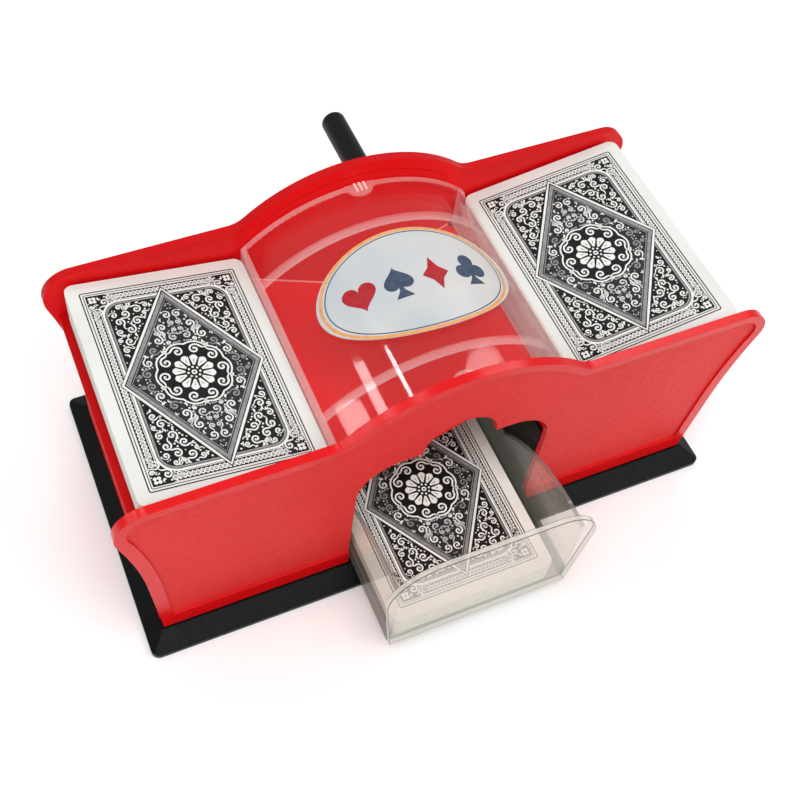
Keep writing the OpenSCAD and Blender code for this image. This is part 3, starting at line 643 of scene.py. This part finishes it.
def scroll(page, x, y, size, start, hand, ink_number, layer, weight=0.42, inside=None):
    """An S-shaped tendril: a curl with a bead in its eye and a tail that bends the other way.

    The tail stops where inside(x, y) says that its region ends."""
    points = spiral_points(x, y, size, start, hand)
    tail_x, tail_y = points[0]
    heading = start - hand * math.pi / 2
    tail = []
    for step in range(TAIL_STEPS):
        heading += hand * TAIL_BEND
        tail_x += size * TAIL_PACE * math.cos(heading)
        tail_y += size * TAIL_PACE * math.sin(heading)
        if inside and not inside(tail_x, tail_y):
            break
        tail.insert(0, (tail_x, tail_y))
    path = tail + points
    widths = [weight * min(1, 0.3 + 0.14 * i) for i in range(len(path))]
    page.ribbon(path, widths, ink_number, layer)
    page.disc(points[-1][0], points[-1][1], weight * 0.8, ink_number, layer, 8)
    page.disc(path[0][0], path[0][1], weight * 0.6, ink_number, layer, 8)


def leaf(page, x, y, size, start, hand, ink_number, layer):
    """A short curved leaf, fat in its middle."""
    points = []
    for step in range(7):
        angle = start + hand * math.radians(-75 + 30 * step)
        points.append((x + size * 0.55 * math.cos(angle), y + size * 0.8 * math.sin(angle)))
    page.ribbon(points, [size * w for w in (0.15, 0.5, 0.75, 0.8, 0.7, 0.45, 0.1)],
                ink_number, layer)


def scrollwork(page, chance, region, inks, layer):
    """Packs a region with scrolls, leaves and beads; region(x, y, size) says where they fit."""
    placed = []
    for size in SCROLL_SIZES:
        for _ in range(TRIES_PER_SIZE):
            x = chance.uniform(0, FIELD_X + SCATTER_MARGIN)
            y = chance.uniform(0, FIELD_Y + SCATTER_MARGIN)
            if not region(x, y, size):
                continue
            if any(math.hypot(x - a, y - b) < size + other for a, b, other in placed):
                continue
            placed.append((x, y, size * 0.94))
            start, hand = chance.uniform(0, 2 * math.pi), chance.choice((-1, 1))
            ink_number = chance.choice(inks)
            if size > SMALLEST_SCROLL:
                scroll(page, x, y, size * 0.92, start, hand, ink_number, layer,
                       0.3 + size * 0.14, lambda x, y: region(x, y, 0.1))
            elif size > SMALLEST_LEAF:
                leaf(page, x, y, size * 1.2, start, hand, ink_number, layer)
            else:
                page.disc(x, y, size * 0.75, ink_number, layer, 6)


LOZENGE_REACH = LOZENGE_X * LOZENGE_Y / math.hypot(LOZENGE_X, LOZENGE_Y)


def lozenge_gap(x, y):
    """Distance outside the lozenge's edge, negative inside."""
    return (abs(x) / LOZENGE_X + abs(y) / LOZENGE_Y - 1) * LOZENGE_REACH


def lozenge_path(inset):
    """Outline points of the lozenge, moved in from its edge by the inset."""
    share = 1 - inset / LOZENGE_REACH
    corners = [(LOZENGE_X * share, 0), (0, LOZENGE_Y * share),
               (-LOZENGE_X * share, 0), (0, -LOZENGE_Y * share)]
    path = []
    for i in range(4):
        (x0, y0), (x1, y1) = corners[i], corners[(i + 1) % 4]
        path += [(x0 + (x1 - x0) * k / 6, y0 + (y1 - y0) * k / 6) for k in range(6)]
    return path


def in_field(x, y, inset):
    """True inside the round-cornered field, by at least the inset."""
    over_x = max(0, abs(x) - (FIELD_X - FIELD_CORNER))
    over_y = max(0, abs(y) - (FIELD_Y - FIELD_CORNER))
    return math.hypot(over_x, over_y) < FIELD_CORNER - inset


def four_ways(page, draw):
    """Draws in the first quarter and mirrors the result to the other three."""
    first = len(page.shapes)
    draw()
    quarter = page.shapes[first:]
    for sx, sy in ((-1, 1), (1, -1), (-1, -1)):
        for points, ink_number, layer in quarter:
            page.fill([(sx * x, sy * y) for x, y in points], ink_number, layer)


def print_border(page, chance):
    """Outline rules, a twisted-rope band and small corner flowers."""
    for half_x, half_y, width in ((PATTERN_HALF_X, PATTERN_HALF_Y, 0.42),
                                  (PATTERN_HALF_X - RULE_STEP, PATTERN_HALF_Y - RULE_STEP, 0.28)):
        path = rounded_rectangle(half_x, half_y, 0.5, 2)
        page.ribbon(path, width, BLACK, 1, closed=True)
    band_out_x, band_out_y = PATTERN_HALF_X - BAND_INSET, PATTERN_HALF_Y - BAND_INSET
    band_in_x, band_in_y = FIELD_X + BAND_GAP, FIELD_Y + BAND_GAP
    band = band_out_x - band_in_x
    page.fill(rounded_rectangle(band_out_x, band_out_y, 0.3, 2), BLACK, 1)
    swing = band * 0.25
    for middle_x, middle_y, half, across in (
            (0, band_in_y + band / 2, band_in_x - ROPE_END, False),
            (band_in_x + band / 2, 0, band_in_y - ROPE_END, True)):
        waves = round(2 * half / ROPE_WAVE)
        steps = waves * 8
        for phase in (0, math.pi):
            strand = []
            for step in range(steps + 1):
                along = -half + 2 * half * step / steps
                off = swing * math.sin(2 * math.pi * waves * step / steps + phase)
                strand.append((middle_x + off, along) if across else (along, middle_y + off))
            for sign in (1, -1):
                mirrored = [(sign * x, y) if across else (x, sign * y) for x, y in strand]
                page.ribbon(mirrored, 0.5, WHITE, 2)
        for wave in range(waves * 2):
            along = -half + half * (wave + 0.5) / waves
            for sign in (1, -1):
                x, y = (sign * middle_x, along) if across else (along, sign * middle_y)
                page.disc(x, y, 0.24, WHITE, 2, 6)
        for sign in (1, -1):
            for edge in (-1, 1):
                off = edge * (band / 2 - BAND_EDGE / 2)
                ends = [(sign * (middle_x + off), t) if across else (t, sign * (middle_y + off))
                        for t in (-half, half)]
                page.ribbon(ends, BAND_EDGE, WHITE, 2)
    corner_x, corner_y = band_in_x + band / 2 - 0.3, band_in_y + band / 2 - 0.3

    def in_spandrel(x, y, size):
        over_x, over_y = x - (FIELD_X - FIELD_CORNER), y - (FIELD_Y - FIELD_CORNER)
        outside = math.hypot(max(0, over_x), max(0, over_y)) > FIELD_CORNER + 0.6 + size * 0.7
        inside_band = x < band_out_x - size * 0.8 and y < band_out_y - size * 0.8
        near = over_x > -1.2 and over_y > -1.2
        flower = math.hypot(x - corner_x, y - corner_y) > 1.6 + size
        return outside and inside_band and near and flower

    def corner_flower():
        for turn in range(4):
            angle = math.radians(45 + 90 * turn)
            page.disc(corner_x + 0.9 * math.cos(angle), corner_y + 0.9 * math.sin(angle),
                      0.68, WHITE, 2, 8)
        page.disc(corner_x, corner_y, 0.4, BLACK, 3, 8)
        scrollwork(page, chance, in_spandrel, (WHITE,), 2)
    four_ways(page, corner_flower)


def print_field(page, chance):
    """Dark round-cornered field whose four corners are filled with scrolls."""
    page.ribbon(rounded_rectangle(FIELD_X + 0.35, FIELD_Y + 0.35, FIELD_CORNER + 0.35, 8), 0.75,
                WHITE, 3, closed=True)
    page.ribbon(rounded_rectangle(FIELD_X - 0.6, FIELD_Y - 0.6, FIELD_CORNER - 0.6, 8), 0.65,
                GREY, 3, closed=True)

    def in_corner(x, y, size):
        return in_field(x, y, size + 1.1) and lozenge_gap(x, y) > size + 0.8

    four_ways(page, lambda: scrollwork(page, chance, in_corner, (WHITE,), 3))


def print_lozenge(page, chance):
    """Bevelled lozenge with a scroll-filled ground."""
    page.fill(lozenge_path(-0.6), BLACK, 4)
    page.ribbon(lozenge_path(0), 0.85, WHITE, 5, closed=True)
    page.fill(lozenge_path(0.75), GREY, 5)
    page.fill(lozenge_path(2.0), CHARCOAL, 6)
    page.ribbon(lozenge_path(2.5), 0.3, GREY, 7, closed=True)

    def in_ground(x, y, size):
        clear_of_axes = min(x, y) > size * 0.85
        return (clear_of_axes and -lozenge_gap(x, y) > size + 2.7
                and math.hypot(x, y) > MEDALLION + size + 0.1)

    four_ways(page, lambda: scrollwork(page, chance, in_ground, (WHITE, SILVER, SILVER, GREY), 7))


def print_medallion(page):
    """Twelve-petalled flower in a ring of ten curls with a scalloped rim."""
    curls = 10
    rim = []
    for step in range(curls * 12):
        angle = 2 * math.pi * step / (curls * 12)
        radius = MEDALLION - SCALLOP + SCALLOP * abs(math.cos(curls * angle / 2))
        rim.append((radius * math.cos(angle), radius * math.sin(angle)))
    page.fill(rim, BLACK, 8)
    page.ribbon(rim, 0.6, WHITE, 9, closed=True)
    for number in range(curls):
        angle = 2 * math.pi * number / curls
        hand = 1 if number % 2 else -1
        scroll(page, CURL_RING * math.cos(angle), CURL_RING * math.sin(angle), CURL_SIZE,
               angle + hand * 0.9, -hand, WHITE, 9, 0.66)
    petals = 12
    for number in range(petals):
        middle = 2 * math.pi * (number + 0.5) / petals
        half = math.pi / petals * 0.86
        root_low, root_high = middle - half * 0.5, middle + half * 0.5
        petal = [(PETAL_ROOT * math.cos(root_low), PETAL_ROOT * math.sin(root_low))]
        for step in range(7):
            share = -1 + step / 3
            radius = PETAL_SHOULDER + PETAL_BULGE * math.cos(share * math.pi / 2)
            angle = middle + half * share
            petal.append((radius * math.cos(angle), radius * math.sin(angle)))
        petal.append((PETAL_ROOT * math.cos(root_high), PETAL_ROOT * math.sin(root_high)))
        page.fill(petal, WHITE, 9)
        page.ribbon([(3.9 * math.cos(middle), 3.9 * math.sin(middle)),
                     (5.4 * math.cos(middle), 5.4 * math.sin(middle))], [0.12, 0.4], GREY, 10)
    for number in range(8):
        angle = 2 * math.pi * number / 8
        page.disc(2.0 * math.cos(angle), 2.0 * math.sin(angle), 0.42, WHITE, 10, 8)
    page.disc(0, 0, 0.95, WHITE, 10, 12)
    page.disc(0, 0, 0.4, BLACK, 11, 8)


def card_back():
    """The ornament on a card's back; every card of the three decks has the same."""
    chance = random.Random(7)
    page = Print()
    print_border(page, chance)
    print_field(page, chance)
    print_lozenge(page, chance)
    print_medallion(page)
    return page


CARD_BACK = card_back()
INK_LAYER = 0.008 * MM


def print_on_deck(name, body, plane, white):
    """Lays the card-back ornament on a deck's top card.

    A deck's thickness has a gap over its last card, which is left out. The pile takes the
    same share, so its print stands a hundredth of a millimetre higher."""
    shorten = math.cos(math.atan(plane.slope))
    top = plane.thick * (1 - (1 - CARD_SHARE) / CARDS_IN_DECK)

    def place(x, y, layer):
        return plane.point(x * shorten * MM, y * MM, top + INK_LAYER * (layer + 1))

    mesh = CARD_BACK.mesh(name, place)
    new_piece(name, mesh, body,
              (INK_BLACK, INK_GREY, white, INK_CHARCOAL, INK_SILVER))


# The pile's lighter face and white ink are painted light
for name, node, body, tilt, cards, seed, face, white in (
        ("left_deck_cards", "left_deck", "left_cards", -TRAY_TILT, CARDS_IN_DECK, 11,
         CARD_FACE, INK_WHITE),
        ("right_deck_cards", "right_deck", "right_cards", TRAY_TILT, CARDS_IN_DECK, 12,
         CARD_FACE, INK_WHITE),
        ("drawer_pile_cards", "drawer_pile", "pile", 0, CARDS_IN_PILE, 13,
         PILE_FACE_PAINTED_LIGHT, PILE_WHITE_PAINTED_LIGHT)):
    plane = card_stack(name, node, body, tilt, cards, seed, face)
    print_on_deck(name.replace("cards", "back_print"), body, plane, white)


# ---------------------------------------------------------------- deflector painted highlight

def deflector_painted_highlight(name):
    """A fine pale bead where the V-shaped deflector meets the back panel's inner face: a painted
    highlight.
    """
    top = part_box("card_deflector")[1].z
    wall = back_y - PANEL_THICK
    fall = DEFLECTOR_HALF * math.tan(DEFLECTOR_TILT)
    path = ((-DEFLECTOR_HALF, top), (0, top - fall), (DEFLECTOR_HALF, top))
    bm = bmesh.new()
    rings = [[bm.verts.new(point) for point in (
        (x, wall, z), (x, wall, z + PAINTED_HIGHLIGHT_WIDTH), (x, wall - PAINTED_HIGHLIGHT_WIDTH, z))] for x, z in path]
    for first, second in zip(rings, rings[1:]):
        for i in range(3):
            j = (i + 1) % 3
            bm.faces.new((first[i], first[j], second[j], second[i]))
    bm.faces.new(rings[0])
    bm.faces.new(rings[-1])
    bmesh.ops.recalc_face_normals(bm, faces=bm.faces)
    new_piece(name, finish_mesh(name, bm), "housing", (RED_PAINTED_HIGHLIGHT,))


deflector_painted_highlight("deflector_painted_highlight")


# ---------------------------------------------------------------- badge

badge_middle = (badge_low + badge_high) / 2
BADGE_HALF_X, BADGE_HALF_Y = 34.5, 21.5  # millimetres, along the cover's skin
BADGE_OFFSET = 2.5 * MM  # along X from the cover's crown
BADGE_SKIN = COVER_RADIUS + BADGE_OVER_COVER
badge_turn = math.asin(BADGE_OFFSET / BADGE_SKIN)
BADGE_RED, BADGE_BLUE, BADGE_GOLD = range(3)


def on_badge(x, y, layer):
    """A point of the badge's print, x and y millimetres from its middle, wrapped on the cover."""
    lean = badge_turn + x * MM / BADGE_SKIN
    radius = BADGE_SKIN + INK_LAYER * (layer + 2)
    return Vector((radius * math.sin(lean), badge_middle.y + y * MM,
                   COVER_AXIS + radius * math.cos(lean)))


def heart(x, y, size, flip=1):
    """Outline of a heart; flip -1 gives the head of a spade."""
    points = []
    for step in range(36):
        t = 2 * math.pi * step / 36
        points.append((x + size * 0.03 * 16 * math.sin(t) ** 3,
                       y + flip * size * 0.03 * (13 * math.cos(t) - 5 * math.cos(2 * t)
                                                 - 2 * math.cos(3 * t) - math.cos(4 * t))))
    return points


def suit_shape(page, x, y, size, outline, ink_number):
    """Fills an outline that is given in shares of the size."""
    page.fill([(x + size * u, y + size * v) for u, v in outline], ink_number, 2)


STEM = ((-0.24, -0.52), (0.24, -0.52), (0.07, -0.3), (0.05, 0), (-0.05, 0), (-0.07, -0.3))
DIAMOND = ((-0.36, 0), (-0.14, -0.2), (0, -0.52), (0.14, -0.2), (0.36, 0), (0.14, 0.2),
           (0, 0.52), (-0.14, 0.2))
CLUB_LOBES = ((-0.22, -0.06), (0.22, -0.06), (0, 0.27))


def badge_page():
    """Two rings round four suits."""
    page = Print()
    steps = 96
    for share, width, ink_number in ((0.97, 1.1, BADGE_GOLD), (0.92, 0.4, BADGE_BLUE)):
        ring = [(BADGE_HALF_X * 1.03 * share * math.cos(2 * math.pi * i / steps),
                 BADGE_HALF_Y * share * math.sin(2 * math.pi * i / steps))
                for i in range(steps)]
        page.ribbon(ring, width, ink_number, 1, closed=True)
    size = 13.5
    gap = 13.6
    page.fill(heart(-1.5 * gap, 0.3, size * 0.92), BADGE_RED, 2)
    page.fill(heart(-0.5 * gap, 1.0, size * 0.8, -1), BADGE_BLUE, 2)
    suit_shape(page, -0.5 * gap, 0.6, size, STEM, BADGE_BLUE)
    suit_shape(page, 0.5 * gap, 0, size, DIAMOND, BADGE_RED)
    for dx, dy in CLUB_LOBES:
        page.disc(1.5 * gap + dx * size, dy * size, size * 0.21, BADGE_BLUE, 2, 24)
    page.disc(1.5 * gap, 0.02 * size, size * 0.1, BADGE_BLUE, 2, 12)
    suit_shape(page, 1.5 * gap, 0.3, size, STEM, BADGE_BLUE)
    return page


def wrap_print(page, name, place, slice_width):
    """Cuts wide shapes into narrow slices so that they can follow the curved cover."""
    bm = bmesh.new()
    for points, ink_number, layer in page.shapes:
        face = bm.faces.new([bm.verts.new((x, y, layer)) for x, y in points])
        face.material_index = ink_number
    reach = int(BADGE_HALF_X / slice_width) + 2
    for number in range(-reach, reach + 1):
        everything = bm.verts[:] + bm.edges[:] + bm.faces[:]
        bmesh.ops.bisect_plane(bm, geom=everything, plane_co=(number * slice_width, 0, 0),
                               plane_no=(1, 0, 0))
    for vert in bm.verts:
        vert.co = place(vert.co.x, vert.co.y, vert.co.z)
    bmesh.ops.recalc_face_normals(bm, faces=bm.faces)
    return finish_mesh(name, bm)


new_piece("badge_suits_print", wrap_print(badge_page(), "badge_suits_print", on_badge, 1.5),
          "cover", (INK_RED, INK_BLUE, INK_GOLD))


# ---------------------------------------------------------------- floor, light and camera

def studio_floor():
    """A large pale floor."""
    bm = bmesh.new()
    bmesh.ops.create_grid(bm, x_segments=8, y_segments=8, size=4)
    mesh = finish_mesh("studio_floor", bm)
    floor = bpy.data.objects.new("studio_floor", mesh)
    bpy.context.scene.collection.objects.link(floor)
    r = Recipe("pale_floor")
    shader = r.principled(srgb(250, 250, 250), 0.85)
    tone = r.spread(r.noise(2, 2), 0, 1)
    r.link(r.blend(tone, srgb(249, 249, 249), srgb(252, 252, 252)), shader.inputs["Base Color"])
    mesh.materials.append(r.finish(shader.outputs[0]))


def area_light(name, place, target, size, power, only_gloss=False):
    """A soft rectangular light that faces its target; its second size runs along Y."""
    light = bpy.data.lights.new(name, "AREA")
    light.shape = "RECTANGLE"
    light.size, light.size_y = size
    light.energy = power
    lamp = bpy.data.objects.new(name, light)
    bpy.context.scene.collection.objects.link(lamp)
    back = (Vector(place) - Vector(target)).normalized()
    across = Vector((0, 1, 0)).cross(back).normalized()
    lamp.rotation_euler = Matrix((across, back.cross(across), back)).transposed().to_euler()
    lamp.location = place
    lamp.visible_diffuse = not only_gloss
    return lamp


def studio():
    """An even white surround, soft lights, and lights that show only as streaks in gloss."""
    world = bpy.data.worlds.new("studio_air")
    bpy.context.scene.world = world
    world.use_nodes = True
    world.node_tree.nodes["Background"].inputs["Color"].default_value = (1, 1, 1, 1)
    world.node_tree.nodes["Background"].inputs["Strength"].default_value = 0.5
    middle = (0, 0, 0.04)
    area_light("key_light", (-0.3, -0.4, 1.5), middle, (1.3, 1.3), 14)
    area_light("fill_light", (0.7, -0.7, 0.9), middle, (0.8, 0.8), 4)
    left = area_light("left_light", (-0.75, -0.65, 0.6), middle, (0.8, 0.6), 1)
    left.visible_glossy = False
    back = area_light("back_light", (0.2, 0.9, 0.9), middle, (1.0, 0.6), 4)
    back.visible_glossy = False
    cover_top = (-0.02, -0.035, 0.093)
    for name, place, size, power in (
            ("wide_strip", (-0.533, 0.44, 0.81), (0.11, 0.09), 0.38),
            ("narrow_strip", (-0.226, 0.44, 0.95), (0.04, 0.09), 0.3),
            ("front_panel_glow", (-0.756, 0.427, 0.6), (0.3, 0.05), 0.45),
            ("side_panel_glow", (0.56, 0.365, 0.73), (0.45, 0.09), 0.75)):
        area_light(name, place, cover_top, size, power, only_gloss=True)
    bpy.context.scene.view_settings.view_transform = "Standard"


def camera():
    """The photograph's view, found by fitting it to the cards, panels, plinth and drawer."""
    data = bpy.data.cameras.new("camera")
    data.sensor_width = 36
    data.lens = 53.1
    data.shift_x = 0.05
    data.shift_y = -0.05
    data.clip_start = 0.01
    view = bpy.data.objects.new("camera", data)
    bpy.context.scene.collection.objects.link(view)
    view.location = (-0.1294, -0.2096, 0.3992)
    view.rotation_euler = [math.radians(a) for a in (34.81, -4.04, -22.83)]
    bpy.context.scene.camera = view


studio_floor()
studio()
camera()
